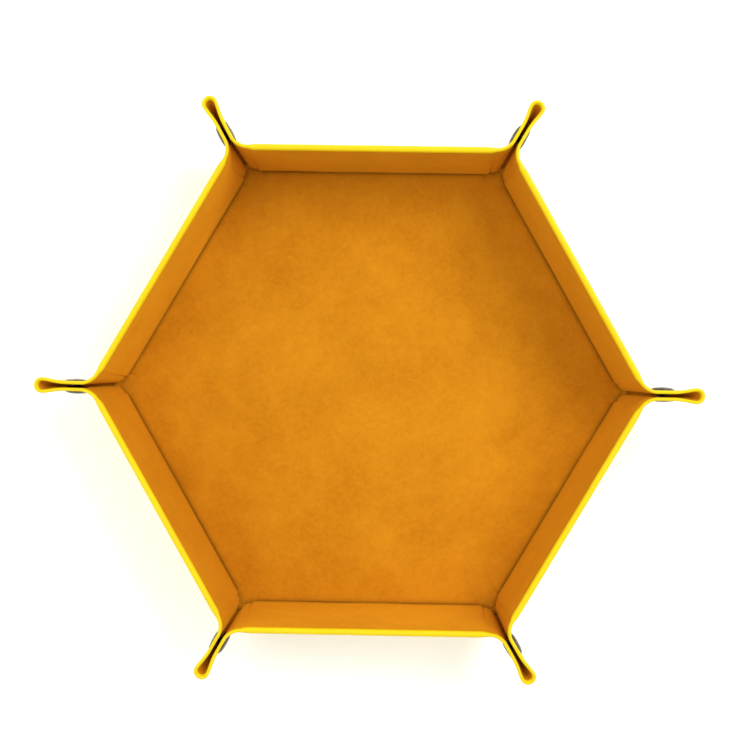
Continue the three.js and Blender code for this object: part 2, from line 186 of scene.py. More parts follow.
# ---- geometry of the folded laminate -----------------------------------------------------------
def smooth(start, end, value):
    """0 before start, 1 after end, and an even rise between."""
    x = np.clip((value - start) / (end - start), 0, 1)
    return x * x * (3 - 2 * x)


ALONG = np.array([math.sin(HALF_TURN), -math.cos(HALF_TURN), 0.0])
OUT = np.array([math.cos(HALF_TURN), math.sin(HALF_TURN), 0.0])
UP = np.array([0.0, 0.0, 1.0])
ACROSS = np.array([0.0, 1.0, 0.0])
WALL_UP = math.cos(WALL_ANGLE) * OUT + math.sin(WALL_ANGLE) * UP
WALL_IN = math.cos(WALL_ANGLE) * UP - math.sin(WALL_ANGLE) * OUT

BEND = np.cross(ACROSS, WALL_IN)
BEND = BEND / np.linalg.norm(BEND) * np.sign(BEND[2])
BEND_RAY = math.asin(float(BEND @ ALONG))
BEND_BACK = EAR_ROOT / math.cos(HALF_TURN)
EAR_TILT = math.atan2(BEND[0], BEND[2]) + HALF_TURN - BEND_RAY
EDGE_UP = np.array([math.sin(EAR_TILT), 0.0, math.cos(EAR_TILT)])
EDGE_IN = np.array([-math.cos(EAR_TILT), 0.0, math.sin(EAR_TILT)])
ROOT_STEP = EAR_ROOT * math.tan(HALF_TURN)
EAR_ORIGIN = np.array([-ROOT_STEP, 0.0, 0.0]) + ROOT_STEP * EDGE_UP - EAR_ROOT * EDGE_IN
CREASE_IN = (EAR_APEX + EAR_ROOT) / 2
EAR_CORNER = WALL_HEIGHT / math.cos(HALF_TURN)


def bend_inward(up):
    return EAR_ROOT + (up + ROOT_STEP) * math.tan(HALF_TURN - BEND_RAY)


def ear_top(inward):
    straight = EAR_CORNER - inward * math.tan(HALF_TURN)
    side = np.minimum(inward, EAR_ROUNDING * math.sin(HALF_TURN))
    centre = EAR_CORNER - EAR_ROUNDING / math.cos(HALF_TURN)
    return np.minimum(centre + np.sqrt(EAR_ROUNDING ** 2 - side ** 2), straight)


def loop_radius(up):
    return EAR_NECK + (EAR_LOOP - EAR_NECK) * smooth(LOOP_START, LOOP_FULL, up)


def panel_across(up, inward):
    end = bend_inward(up)
    loop = (loop_radius(up) - EAR_NECK) * (1 - smooth(EAR_APEX + EAR_LOOP, NECK_INWARD, inward))
    root = (EAR_ROOT - EAR_NECK) * smooth(EAR_APEX + ROOT_SHARE * (end - EAR_APEX), end, inward)
    return EAR_NECK + loop + root


def ear_point(t, u):
    up = t * math.sin(HALF_TURN) + u * math.cos(HALF_TURN)
    inward = u * math.sin(HALF_TURN) - t * math.cos(HALF_TURN)
    radius = loop_radius(up)
    start = EAR_APEX + radius
    turn = np.clip(inward / start, 0, 1) * math.pi / 2
    in_loop = inward < start
    place = np.where(in_loop, start - radius * np.cos(turn), inward)
    across = np.where(in_loop, radius * np.sin(turn), panel_across(up, inward))
    return EAR_ORIGIN + up[..., None] * EDGE_UP + place[..., None] * EDGE_IN + across[..., None] * ACROSS


def wall_point(t, u):
    return t[..., None] * ALONG + u[..., None] * WALL_UP


def floor_point(t, u):
    return t[..., None] * ALONG + u[..., None] * OUT


def bend_reach(along):
    return BEND_REACH[0] + BEND_REACH[1] * np.clip(along / WALL_HEIGHT, 0, 1)


def curve(before, corner, after, share):
    """A quadratic curve from before to after, pulled towards corner."""
    share = share[..., None]
    return (1 - share) ** 2 * before + 2 * share * (1 - share) * corner + share ** 2 * after


def middle(t, u):
    """The laminate's middle surface, in the corner's frame."""
    t, u = np.broadcast_arrays(np.asarray(t, float), np.asarray(u, float))
    sin_ray, cos_ray = math.sin(BEND_RAY), math.cos(BEND_RAY)
    along = (t + BEND_BACK) * sin_ray + u * cos_ray
    beyond = (t + BEND_BACK) * cos_ray - u * sin_ray
    reach = bend_reach(along)

    def flat_place(distance):
        return -BEND_BACK + distance * cos_ray + along * sin_ray, -distance * sin_ray + along * cos_ray

    share = np.clip((beyond + reach) / (2 * reach), 0, 1)
    bent = curve(wall_point(*flat_place(-reach)), wall_point(*flat_place(0 * reach)),
                 ear_point(*flat_place(reach)), share)
    out = np.where((beyond <= -reach)[..., None], wall_point(t, u), bent)
    out = np.where((beyond >= reach)[..., None], ear_point(t, u), out)
    share = np.clip((u + FOLD_REACH) / (2 * FOLD_REACH), 0, 1)
    reach = np.full_like(u, FOLD_REACH)
    folded = curve(floor_point(t, -reach), floor_point(t, 0 * reach), wall_point(t, reach), share)
    near_fold = (u < FOLD_REACH) & (beyond < -bend_reach(along))
    out = np.where(near_fold[..., None], folded, out)
    return np.where(((u <= -FOLD_REACH) & near_fold)[..., None], floor_point(t, u), out)


def face_height(faces, t):
    fade = LEATHER_FADE if faces is LEATHER_FACE else VELVET_FADE
    on_board = 1 - smooth(BOARD_END - fade, BOARD_END + fade, t)
    return faces[1] + (faces[0] - faces[1]) * on_board


class Corner:
    """Places laminate points at floor corner k, towards wall k (side 1) or the wall before it (-1)."""

    def __init__(self, k, side):
        angle = 2 * k * HALF_TURN
        out = np.array([math.cos(angle), math.sin(angle), 0.0])
        across = side * np.array([-math.sin(angle), math.cos(angle), 0.0])
        self.axes = np.array([out, across, UP])
        self.origin = out * CORNER_RADIUS + UP * HINGE_Z
        self.lean = EAR_LEAN[k] * side

    def world(self, point):
        return np.asarray(point) @ self.axes + self.origin

    def direction(self, vector):
        return np.asarray(vector) @ self.axes

    def middle(self, t, u):
        point = middle(t, u)
        beyond = (t + BEND_BACK) * math.cos(BEND_RAY) - u * math.sin(BEND_RAY)
        share = smooth(*LEAN_OVER, beyond) * np.clip(u / WALL_HEIGHT, 0, 1)
        return point + (self.lean * share)[..., None] * ACROSS

    def point(self, t, u, v, waves=None):
        """v may be an array. waves is a displacement along the normal, as a function of world points."""
        t, u, v = np.broadcast_arrays(*[np.asarray(x, float) for x in (t, u, v)])
        here = self.middle(t, u)
        d_t = self.middle(t + NORMAL_STEP, u) - self.middle(t - NORMAL_STEP, u)
        d_u = self.middle(t, u + NORMAL_STEP) - self.middle(t, u - NORMAL_STEP)
        normal = np.cross(d_t, d_u)
        normal /= np.linalg.norm(normal, axis=-1, keepdims=True)
        place = self.world(here)
        if waves is not None:
            v = v + waves(place)
        return place + self.direction(normal) * v[..., None]


def wave_field(seed, length, height, count=14):
    """A smooth uneven surface: a sum of sines with fixed random directions."""
    source = np.random.default_rng(seed)
    directions = source.normal(size=(count, 3))
    directions /= np.linalg.norm(directions, axis=1, keepdims=True)
    rates = 2 * math.pi / (length * source.uniform(*WAVE_SPREAD, count))
    phases = source.uniform(0, 2 * math.pi, count)

    def field(points):
        waves = np.sin(points @ (directions * rates[:, None]).T + phases)
        return height * waves.mean(axis=-1) * WAVE_GAIN

    return field


CORNER_POINTS = np.array([
    [CORNER_RADIUS * math.cos(2 * k * HALF_TURN), CORNER_RADIUS * math.sin(2 * k * HALF_TURN), HINGE_Z]
    for k in range(CORNERS)
])


def puckers(points):
    """Short radial creases round each floor corner."""
    offsets = points[..., None, :] - CORNER_POINTS
    distance = np.linalg.norm(offsets, axis=-1)
    angle = np.arctan2(offsets[..., 1], offsets[..., 0])
    ripple = np.sin(PUCKER_COUNT * angle + PUCKER_TWIST * offsets[..., 2])
    fade = np.exp(-((distance / PUCKER_SPREAD) ** 2))
    return (PUCKER_HEIGHT * ripple * fade).sum(axis=-1)


broad_velvet = wave_field(3, 26 * MM, 0.10 * MM)
fine_velvet = wave_field(4, 6 * MM, 0.035 * MM)
broad_leather = wave_field(5, 18 * MM, 0.05 * MM)
rim_waves = wave_field(6, 5.5 * MM, 0.05 * MM)


def velvet_waves(points):
    return broad_velvet(points) + fine_velvet(points) + puckers(points)


def leather_waves(points):
    """The outside's unevenness. The leather faces the other way, so it is counted outward."""
    return -OUTSIDE_WAVES * (broad_leather(points) + rim_waves(points))


def no_waves(points):
    return 0 * points[..., 0]


# ---- meshes ------------------------------------------------------------------------------------
def painted_lining_shade(points):
    """How much the lining is painted darker: painted shade along the floor's creases, where the nap also
    lies flat, and where the ears' roots are pinched.
    """
    turn = (np.arctan2(points[:, 1], points[:, 0]) % (2 * HALF_TURN)) - HALF_TURN
    from_centre = np.hypot(points[:, 0], points[:, 1])
    above_floor = np.maximum(points[:, 2] - HINGE_Z - VELVET_FACE[0], 0)
    from_crease = np.hypot(from_centre * np.cos(turn) - FOLD_APOTHEM, above_floor)
    from_corner = np.linalg.norm(points[:, None, :] - CORNER_POINTS, axis=-1).min(axis=1)
    in_pinch = np.exp(-((from_corner / PINCH_SPREAD) ** 2))
    in_pinch *= smooth(*PINCH_START, from_centre - CORNER_RADIUS)
    in_crease = np.exp(-((from_crease / CREASE_SPREAD) ** 2))
    in_crease *= 1 - CREASE_SOFTER * np.exp(-((from_corner / CREASE_FADE) ** 2))
    return np.maximum(in_crease, in_pinch)


def add_attribute(mesh, name, kind, values):
    attribute = mesh.attributes.new(name, kind, "POINT")
    field = "vector" if kind == "FLOAT_VECTOR" else "value"
    attribute.data.foreach_set(field, np.asarray(values, np.float32).ravel())


def make_object(name, vertices, faces, material, sharp=SKIN_SHARP):
    """A mesh object whose points keep their places at rest, which its material's textures follow."""
    mesh = bpy.data.meshes.new(name)
    mesh.from_pydata([tuple(p) for p in vertices], [], faces)
    mesh.validate()
    mesh.update()
    piece = bpy.data.objects.new(name, mesh)
    bpy.context.scene.collection.objects.link(piece)
    mesh.materials.append(material)
    add_attribute(mesh, "rest", "FLOAT_VECTOR", vertices)
    # the lining's painted shade, in its creases and the pinched roots of the ears
    add_attribute(mesh, "painted_shade", "FLOAT", painted_lining_shade(np.asarray(vertices, float)))
    mesh.polygons.foreach_set("use_smooth", [True] * len(mesh.polygons))
    mesh.set_sharp_from_angle(angle=math.radians(sharp))
    return piece


def shell_faces(rows, columns):
    """Quads of a closed sheet: face grid, back grid, and the strips that join their borders."""
    count = rows * columns
    faces = []
    for i in range(rows - 1):
        for j in range(columns - 1):
            a, b = i * columns + j, i * columns + j + 1
            c, d = b + columns, a + columns
            faces.append((a, b, c, d))
            faces.append((count + a, count + d, count + c, count + b))
    for j in range(columns - 1):
        a, b = j, j + 1
        faces.append((b, a, count + a, count + b))
        a, b = (rows - 1) * columns + j, (rows - 1) * columns + j + 1
        faces.append((a, b, count + b, count + a))
    for i in range(rows - 1):
        a, b = i * columns, (i + 1) * columns
        faces.append((a, b, count + b, count + a))
        a, b = (i + 1) * columns - 1, (i + 2) * columns - 1
        faces.append((b, a, count + a, count + b))
    return faces


def signed_volume(vertices, faces):
    corners = vertices[np.array(faces)]
    first = np.einsum("ij,ij->i", corners[:, 0], np.cross(corners[:, 1], corners[:, 2]))
    second = np.einsum("ij,ij->i", corners[:, 0], np.cross(corners[:, 2], corners[:, 3]))
    return first.sum() + second.sum()


def mark_back(piece, first, count):
    """Marks the side of a skin that is glued down: vertices from first on."""
    add_attribute(piece.data, "back", "FLOAT", np.arange(count) >= first)


def skin_piece(name, face, back, material):
    """A closed sheet between two equal grids of points."""
    rows, columns = face.shape[:2]
    vertices = np.concatenate([face.reshape(-1, 3), back.reshape(-1, 3)])
    faces = shell_faces(rows, columns)
    if signed_volume(vertices, faces) < 0:
        faces = [quad[::-1] for quad in faces]
    piece = make_object(name, vertices, faces, material)
    mark_back(piece, len(vertices) // 2, len(vertices))
    return piece


def turned_in(faces):
    """How much further the leather runs than the wall is high, over the rim and down its hem."""
    radius = (faces[0] + faces[1]) / 2
    return math.pi * (radius - LEATHER_THICK / 2) + HEM - 2 * radius


# ---- materials ---------------------------------------------------------------------------------
class Nodes:
    """A short way to write a material's node tree."""

    def __init__(self, name):
        self.material = bpy.data.materials.new(name)
        self.material.use_nodes = True
        self.tree = self.material.node_tree
        self.shader = self.tree.nodes["Principled BSDF"]
        rest = self.tree.nodes.new("ShaderNodeAttribute")
        rest.attribute_name = "rest"
        self.rest = rest.outputs["Vector"]

    def add(self, kind, inputs=None, **settings):
        node = self.tree.nodes.new(kind)
        for key, value in settings.items():
            setattr(node, key, value)
        for key, value in (inputs or {}).items():
            if isinstance(value, bpy.types.NodeSocket):
                self.tree.links.new(value, node.inputs[key])
            else:
                node.inputs[key].default_value = value
        return node

    def set(self, **inputs):
        for key, value in inputs.items():
            socket = self.shader.inputs[key.replace("_", " ")]
            if isinstance(value, bpy.types.NodeSocket):
                self.tree.links.new(value, socket)
            else:
                socket.default_value = value

    def noise(self, scale, detail=3.0, rough=0.55, where=None):
        node = self.add("ShaderNodeTexNoise", {
            "Vector": where or self.rest, "Scale": scale, "Detail": detail, "Roughness": rough})
        return node.outputs["Fac"]

    def spread(self, value, low, high, to_low=0.0, to_high=1.0):
        node = self.add("ShaderNodeMapRange", {
            "Value": value, "From Min": low, "From Max": high, "To Min": to_low, "To Max": to_high})
        return node.outputs["Result"]

    def mix(self, share, first, second):
        node = self.add("ShaderNodeMix", data_type="RGBA")
        sockets = (node.inputs["Factor"], node.inputs[6], node.inputs[7])
        for socket, value in zip(sockets, (share, first, second)):
            if isinstance(value, bpy.types.NodeSocket):
                self.tree.links.new(value, socket)
            else:
                socket.default_value = value
        return node.outputs[2]

    def math(self, operation, first, second):
        node = self.add("ShaderNodeMath", {0: first, 1: second}, operation=operation)
        return node.outputs[0]

    def bump(self, height, distance, strength=1.0, after=None):
        inputs = {"Height": height, "Distance": distance, "Strength": strength}
        if after is not None:
            inputs["Normal"] = after
        return self.add("ShaderNodeBump", inputs).outputs["Normal"]


def srgb(red, green, blue):
    """A linear colour from its usual 0 to 255 values."""
    linear = [((c / 255 + 0.055) / 1.055) ** 2.4 if c > 10 else c / 255 / 12.92 for c in (red, green, blue)]
    return (*linear, 1.0)


def velvet_material():
    m = Nodes("velvet")
    cloud = m.spread(m.noise(34, 4, 0.6), 0.36, 0.64)
    patch = m.spread(m.noise(150, 4, 0.65), 0.34, 0.66)
    nap = m.spread(m.noise(700, 5, 0.7), 0.3, 0.7)
    painted_shade = m.add("ShaderNodeAttribute", attribute_name="painted_shade").outputs["Fac"]
    fibre = m.noise(5200, 2, 0.7)
    shade = m.mix(cloud, srgb(196, 121, 15), srgb(213, 138, 23))                # broad clouds
    shade = m.mix(m.math("MULTIPLY", patch, 0.22), shade, srgb(164, 92, 7))     # darker patches
    shade = m.mix(m.math("MULTIPLY", nap, 0.36), shade, srgb(232, 160, 36))     # bright fine nap
    shade = m.mix(m.math("MULTIPLY", painted_shade, 0.92), shade, srgb(84, 38, 2))    # painted shade in the creases and pinched ear roots
    normal = m.bump(fibre, 0.10 * MM, 0.55)
    normal = m.bump(m.noise(700, 5, 0.7), 0.18 * MM, 0.6, normal)
    normal = m.bump(m.noise(150, 4, 0.65), 0.4 * MM, 0.4, normal)
    m.set(Base_Color=shade, Roughness=0.95, Normal=normal, Specular_IOR_Level=0.04)
    m.set(Sheen_Weight=0.8, Sheen_Roughness=0.5, Sheen_Tint=srgb(255, 184, 40))
    return m.material


def leather_material():
    m = Nodes("leather")
    cells = m.add("ShaderNodeTexVoronoi", {"Vector": m.rest, "Scale": 1500.0, "Randomness": 0.9},
                  feature="DISTANCE_TO_EDGE")
    grain = m.spread(cells.outputs["Distance"], 0.0, 0.16)
    pores = m.noise(3000, 2, 0.6)
    tone = m.spread(m.noise(55, 3, 0.6), 0.35, 0.65)
    # The walls' leather is painted darker than the rim's: painted light on the top, painted shade down the
    # sides.
    side = m.mix(tone, srgb(234, 203, 7), srgb(242, 211, 11))
    rim = m.mix(tone, srgb(248, 216, 7), srgb(253, 224, 12))
    height = m.add("ShaderNodeSeparateXYZ", {"Vector": m.rest}).outputs["Z"]
    shade = m.mix(m.spread(height, RIM_Z - RIM_PAINTED_LIGHT[0], RIM_Z - RIM_PAINTED_LIGHT[1]), side, rim)
    shade = m.mix(m.spread(grain, 0.0, 1.0, 0.35, 0.0), shade, srgb(214, 176, 3))
    back = m.add("ShaderNodeAttribute", attribute_name="back").outputs["Fac"]
    shade = m.mix(back, shade, m.mix(pores, srgb(170, 102, 12), srgb(190, 118, 18)))
    normal = m.bump(grain, 0.09 * MM, 0.6)
    normal = m.bump(pores, 0.03 * MM, 0.4, normal)
    rough = m.spread(m.noise(400, 3, 0.6), 0.3, 0.7, 0.42, 0.56)
    m.set(Base_Color=shade, Roughness=rough, Normal=normal, Specular_IOR_Level=0.22)
    return m.material


def metal_material():
    m = Nodes("black_nickel")
    brushed = m.add("ShaderNodeMapping", {"Vector": m.rest, "Scale": (1, 1, 6)})
    scratch = m.noise(900, 4, 0.7, brushed.outputs["Vector"])
    rough = m.spread(scratch, 0.3, 0.7, 0.16, 0.30)
    tone = m.mix(m.spread(m.noise(500, 2), 0.35, 0.65), srgb(62, 59, 57), srgb(90, 86, 83))
    m.set(Base_Color=tone, Metallic=1.0, Roughness=rough, Normal=m.bump(scratch, 0.01 * MM, 0.4))
    return m.material


def board_material():
    m = Nodes("greyboard")
    fibres = m.noise(1500, 4, 0.7)
    tone = m.mix(m.spread(fibres, 0.35, 0.65), srgb(122, 116, 106), srgb(150, 144, 134))
    m.set(Base_Color=tone, Roughness=0.9, Normal=m.bump(fibres, 0.05 * MM, 0.5))
    return m.material


VELVET = velvet_material()
LEATHER = leather_material()
METAL = metal_material()
GREYBOARD = board_material()


# ---- seams -------------------------------------------------------------------------------------
def seam_t(u):
    """Where the wall's skins end and the ear's begin, along t."""
    reach = bend_reach(np.asarray(u, float)) + SEAM_CLEAR
    return -BEND_BACK + (u * math.sin(BEND_RAY) - reach) / math.cos(BEND_RAY)


SEAM_FOOT = float(seam_t(0.0))
SEAM_SLOPE = -SEAM_FOOT * math.cos(HALF_TURN) / (CORNER_RADIUS + SEAM_FOOT * math.sin(HALF_TURN))


def floor_end(u):
    """Where the wall's skin ends along t over the floor: on the ray from the centre to the seam's foot."""
    far = u * (math.sin(HALF_TURN) - SEAM_SLOPE * math.cos(HALF_TURN)) - SEAM_SLOPE * CORNER_RADIUS
    return far / (math.cos(HALF_TURN) + SEAM_SLOPE * math.sin(HALF_TURN))


def wall_end(u):
    return np.where(u > 0, seam_t(np.maximum(u, 0)), floor_end(u))


# ---- floor skins -------------------------------------------------------------------------------
SEAM_RAY = math.atan(SEAM_SLOPE)
TONGUE_RAY = SEAM_RAY + TONGUE_UNDER / CORNER_RADIUS


def floor_angles():
    """Ray angles over one turn, closer together at the corners, with a pair at each tongue's side."""
    beside, far = TONGUE_RAY * NEXT_RAY, TONGUE_RAY * FAR_RAY
    near = [-beside, *np.linspace(-TONGUE_RAY, TONGUE_RAY, TONGUE_RAYS), beside]
    between = list(np.linspace(far, 2 * HALF_TURN - far, EDGE_RAYS))
    return np.array([2 * k * HALF_TURN + a for k in range(CORNERS) for a in near + between])


def beside_corner(angles):
    return angles - np.round(angles / (2 * HALF_TURN)) * 2 * HALF_TURN


def on_tongue(angles):
    return np.abs(beside_corner(angles)) <= TONGUE_RAY * RAY_LIMIT


def hexagon_edge(angles):
    return (FOLD_APOTHEM - FLOOR_EDGE) / np.cos(HALF_TURN - np.abs(beside_corner(angles)))


def floor_outline(angles, tongue):
    reach, _, tip = tongue
    end = CORNER_RADIUS + reach - (beside_corner(angles) * CORNER_RADIUS) ** 2 / (2 * tip)
    return np.where(on_tongue(angles), end, hexagon_edge(angles))


def floor_grid(height, waves, sign, tongue):
    angles = floor_angles()
    outline = floor_outline(angles, tongue)
    radius = np.concatenate([INNER_RINGS, OUTER_RINGS])[:, None] * outline
    x, y = radius * np.cos(angles), radius * np.sin(angles)
    points = np.stack([x, y, np.full_like(x, HINGE_Z)], axis=-1)
    past_edge = radius - hexagon_edge(angles)
    rise = tongue[1] * smooth(-TONGUE_RISE, 0, radius - outline) * smooth(*RISE_OVER, past_edge)
    rise = rise * on_tongue(angles)
    under = smooth(SEAM_RAY * DROP_SHARE, TONGUE_RAY, np.abs(beside_corner(angles)))
    drop = TONGUE_DROP * smooth(*DROP_OVER, past_edge) * under * (sign > 0)
    points[..., 2] += sign * height + sign * waves(points) + rise - drop
    return points


def turned_down(points, tongue):
    """How far the lining's back is turned down at a tongue, to hide what is under it when the ears part."""
    angles = floor_angles()
    past_outline = np.hypot(points[..., 0], points[..., 1]) - floor_outline(angles, tongue)
    return LINING_LIP * smooth(-LIP_WIDTH, 0, past_outline) * on_tongue(angles)


def floor_skin(name, heights, waves, sign, material, node):
    tongue = TONGUE["velvet" if sign > 0 else "leather"]
    face = floor_grid(heights[0], waves, sign, tongue)
    back = floor_grid(heights[1], waves, sign, tongue)
    if sign > 0:
        back[..., 2] -= turned_down(back, tongue)
    rows, columns = face.shape[:2]
    count = rows * columns
    vertices = np.concatenate([face.reshape(-1, 3), back.reshape(-1, 3),
                               [face[0].mean(axis=0), back[0].mean(axis=0)]])
    faces = []
    for i in range(rows - 1):
        for j in range(columns):
            a, b = i * columns + j, i * columns + (j + 1) % columns
            faces.append((a, a + columns, b + columns, b))
            faces.append((count + a, count + b, count + b + columns, count + a + columns))
    for j in range(columns):
        a, b = (rows - 1) * columns + j, (rows - 1) * columns + (j + 1) % columns
        faces.append((a, count + a, count + b, b))
        faces.append((2 * count, j, (j + 1) % columns))
        faces.append((2 * count + 1, count + (j + 1) % columns, count + j))
    if sign < 0:
        faces = [ring[::-1] for ring in faces]
    piece = make_object(name, vertices, faces, material)
    mark_back(piece, count, len(vertices))
    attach(piece, "base")
    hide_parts(node)


def make_floor():
    velvet = (VELVET_FACE[0], VELVET_FACE[0] - VELVET_THICK)
    leather = (LEATHER_FACE[0], LEATHER_FACE[0] - LEATHER_THICK)
    floor_skin("velvet_floor", velvet, velvet_waves, 1, VELVET, "lining_base")
    floor_skin("leather_underside", leather, no_waves, -1, LEATHER,
               "cover_base")


# ---- paths through the thickness ---------------------------------------------------------------
# Each gives the distance below the rim and the height v, at a depth below the skin's face.
def leather_path(length, t, depth, steps):
    """Up the outside, over the rim and down the hem."""
    outer = face_height(LEATHER_FACE, t)
    inner = face_height(VELVET_FACE, t) + HEM_LIFT
    radius = (outer + inner) / 2
    centre = (inner - outer) / 2
    own = radius - depth
    share = np.linspace(0, 1, steps)[:, None]
    body = length + (radius - length) * (1 - (1 - share) ** ROW_CROWDING)
    over = np.linspace(0, math.pi, RIM_ROWS + 1)[1:, None]
    hem = np.linspace(0, 1, HEM_ROWS + 1)[1:, None]
    below = np.concatenate([body, radius - own * np.sin(over), radius + (HEM - radius) * hem])
    v = np.concatenate([0 * body - outer + depth, centre - own * np.cos(over), 0 * hem + centre + own])
    return below, v


def velvet_path(length, t, depth, steps):
    """Down the inside from the hem. Where it reaches the floor fold its rows are closer together."""
    face = face_height(VELVET_FACE, t)
    top = HEM + HEM_GAP
    if float(np.max(length)) > WALL_HEIGHT:
        fold = WALL_HEIGHT - FOLD_ROWS_FROM
        upper = np.linspace(top, fold, steps - FOLD_ROWS)
        lower = np.linspace(fold, length[0], FOLD_ROWS + 1)[1:]
        below = np.concatenate([upper, lower])[:, None]
    else:
        below = top + (length - top) * np.linspace(0, 1, steps)[:, None]
    crease = CREASE_DEPTH * np.exp(-(((below - WALL_HEIGHT) / CREASE_WIDTH) ** 2))
    nap = NAP_DIP[0] * np.exp(-(below - top) / NAP_DIP[1]) * (depth == 0)
    return below + 0 * face, face - depth - crease - nap


# ---- wall skins --------------------------------------------------------------------------------
def wall_half(corner, path, depth, steps, waves):
    """One half of a wall's skin, from the wall's middle to the seam beside the ear."""
    share = np.linspace(0, 1, HALF_WALL_COLUMNS)
    length = np.full(HALF_WALL_COLUMNS, WALL_HEIGHT + FLOOR_EDGE)
    top = share * (seam_t(WALL_HEIGHT) + HALF_SIDE) - HALF_SIDE
    below, v = path(length, top, depth, steps)
    u = WALL_HEIGHT - below
    t = share * (wall_end(u) + HALF_SIDE) - HALF_SIDE
    return corner.point(t, u, v, waves)


def wall_grid(k, path, depth, steps, waves):
    left = wall_half(Corner((k + 1) % CORNERS, -1), path, depth, steps, waves)
    right = wall_half(Corner(k, 1), path, depth, steps, waves)
    middle_line = (left[:, :1] + right[:, :1]) / 2
    return np.concatenate([left[:, :0:-1], middle_line, right[:, 1:]], axis=1)


def blend_at_fold(piece):
    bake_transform(piece)


def make_wall(k):
    for name, path, thick, waves, material, slot, node, past_rim in (
        ("leather", leather_path, LEATHER_THICK, leather_waves, LEATHER, "cover_leather", "cover",
         turned_in((LEATHER_FACE[0], VELVET_FACE[0]))),
        ("velvet", velvet_path, VELVET_THICK, velvet_waves, VELVET, "velvet_lining", "lining",
         -(HEM + HEM_GAP)),
    ):
        face = wall_grid(k, path, 0.0, WALL_ROWS[name], waves)
        back = wall_grid(k, path, thick, WALL_ROWS[name], waves)
        piece = skin_piece(f"{name}_wall_{k + 1}", face, back, material)
        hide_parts(f"{node}_wall_{k + 1}")
        blend_at_fold(piece)


# ---- ear skins ---------------------------------------------------------------------------------
def border_inward(up):
    """Where the ear's panel skin ends and its edge skin begins: between the bend and the crease."""
    return np.minimum(EDGE_WIDTH, CREASE_IN + (bend_inward(up) - CREASE_IN) * BORDER_SHARE)


def flat(up, inward):
    """(t, u) of a place that is given up along the ear's edge line and inward from it."""
    t = up * math.sin(HALF_TURN) - inward * math.cos(HALF_TURN)
    u = up * math.cos(HALF_TURN) + inward * math.sin(HALF_TURN)
    return np.stack([t, u], axis=-1)


def panel_columns(foot, stagger):
    """Top and bottom ends, in (t, u), of the panel skin's columns, from the wall seam to the border."""
    share = np.linspace(0, 1, PANEL_COLUMNS)[:, None]
    wall_top = np.array([seam_t(WALL_HEIGHT), WALL_HEIGHT])
    wall_foot = np.array([float(seam_t(foot)), foot])
    foot_in = float(border_inward(foot)) + stagger
    top_in = EDGE_WIDTH + stagger
    ear_upper = flat(float(ear_top(top_in)), top_in)
    ear_foot = flat(foot, foot_in)
    return wall_top + (ear_upper - wall_top) * share, wall_foot + (ear_foot - wall_foot) * share


def edge_columns(foot, stagger):
    """The same for the edge skin, from the border to the ear's folded edge."""
    share = np.linspace(0, 1, EDGE_COLUMNS)
    top_in = (EDGE_WIDTH + stagger) * (1 - share)
    foot_in = (float(border_inward(foot)) + stagger) * (1 - share)
    return flat(ear_top(top_in), top_in), flat(np.full(EDGE_COLUMNS, foot), foot_in)


def ear_grid(corner, columns, path, depth, steps, waves):
    top, foot = columns
    length = np.linalg.norm(top - foot, axis=-1)
    below, v = path(length, top[:, 0], depth, steps)
    place = top + (foot - top) * (below / length)[..., None]
    return corner.point(place[..., 0], place[..., 1], v, waves)


def make_ear(k, side):
    corner = Corner(k, side)
    label = f"{k + 1}{'a' if side > 0 else 'b'}"
    wall = f"wall_{(k if side > 0 else k - 1) % CORNERS + 1}"
    ear = f"ear_{label}"
    bend_at = Vector(JOINTS[f"bend_{ear}"]["pos_m"])
    crease_at = Vector(JOINTS[f"crease_{ear}"]["pos_m"])
    over_bend = Vector(corner.direction(ALONG + np.array([1.0, 0, 0]))).normalized() * BEND_BLEND
    over_crease = Vector(corner.direction(-EDGE_IN - ACROSS)).normalized() * CREASE_BLEND
    for name, path, thick, waves, material, slot, past_rim in (
        ("leather", leather_path, LEATHER_THICK, leather_waves, LEATHER, "ear_laminate",
         turned_in((LEATHER_FACE[1], VELVET_FACE[1]))),
        ("velvet", velvet_path, VELVET_THICK, velvet_waves, VELVET, "velvet_lining",
         -(HEM + HEM_GAP)),
    ):
        foot, stagger, steps = EAR_FOOT[name], STAGGER[name], EAR_ROWS[name]
        panel_top, panel_foot = panel_columns(foot, stagger)
        for part, columns, before, after, pivot, across in (
            ("panel", (panel_top, panel_foot), wall, ear, bend_at, over_bend),
            ("edge", edge_columns(foot, stagger), ear, f"{ear}_edge", crease_at, over_crease),
        ):
            face = ear_grid(corner, columns, path, 0.0, steps, waves)
            back = ear_grid(corner, columns, path, thick, steps, waves)
            piece = skin_piece(f"{name}_{ear}_{part}", face, back, material)
            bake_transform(piece)
            if name == "leather":
                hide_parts(f"{ear}_{part}")


# ---- snaps -------------------------------------------------------------------------------------
# A profile is a list of (radius, height) in mm, from the axis outward and back to it.
def turned(name, profile, centre, axis, body, segments=TURNED_SEGMENTS):
    """A pressed-metal piece: a profile turned about the axis through centre."""
    axis = Vector(axis).normalized()
    turn = axis.to_track_quat("Z", "Y").to_matrix()
    vertices, faces = [], []
    for radius, height in profile:
        radius = max(radius, AXIS_RADIUS)
        for j in range(segments):
            angle = 2 * math.pi * j / segments
            local = Vector((radius * math.cos(angle), radius * math.sin(angle), height)) * MM
            vertices.append(Vector(centre) + turn @ local)
    for i in range(len(profile) - 1):
        for j in range(segments):
            a, b = i * segments + j, i * segments + (j + 1) % segments
            faces.append((a, b, b + segments, a + segments))
    faces.append(tuple(range(segments - 1, -1, -1)))
    faces.append(tuple((len(profile) - 1) * segments + j for j in range(segments)))
    piece = make_object(name, vertices, faces, METAL, sharp=METAL_SHARP)
    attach(piece, body)
    return piece


